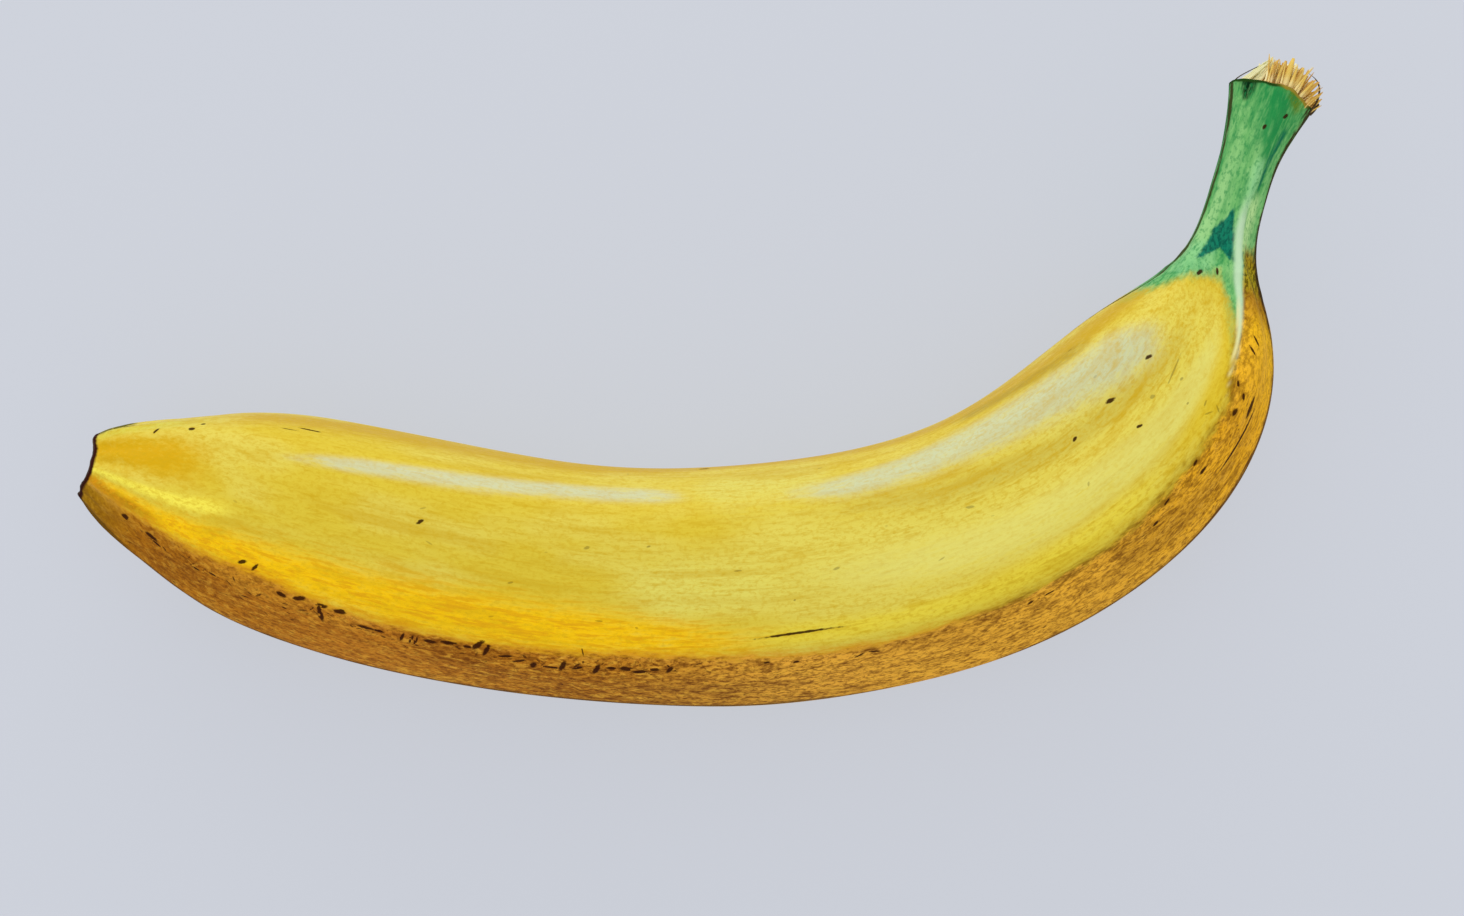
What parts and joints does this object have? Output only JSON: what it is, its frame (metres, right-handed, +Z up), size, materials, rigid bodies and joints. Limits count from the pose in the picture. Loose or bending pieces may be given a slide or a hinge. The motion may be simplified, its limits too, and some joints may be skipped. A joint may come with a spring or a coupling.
{
  "type": "banana",
  "caption": "Ripe banana lying on its side: a long curved fruit with soft ridges, a slim green neck, a frayed cut stem end and a dark blossom scar.",
  "frame": {"origin": "bottom centre of the bounding box, on the surface that the banana lies on", "axes": "+X from the blossom end towards the stem side, along the longest extent; +Y towards the side that the stem points to, across the bend; +Z up, square to the plane of the bend"},
  "size_m": [0.1908, 0.0994, 0.0347],
  "materials": {
    "peel": "waxy satin banana skin: yellow, golden brown on the outer face, green at the neck, cream fibres at the cut end"
  },
  "bodies": {
    "root": {"banana": "peel"}
  },
  "joints": []
}
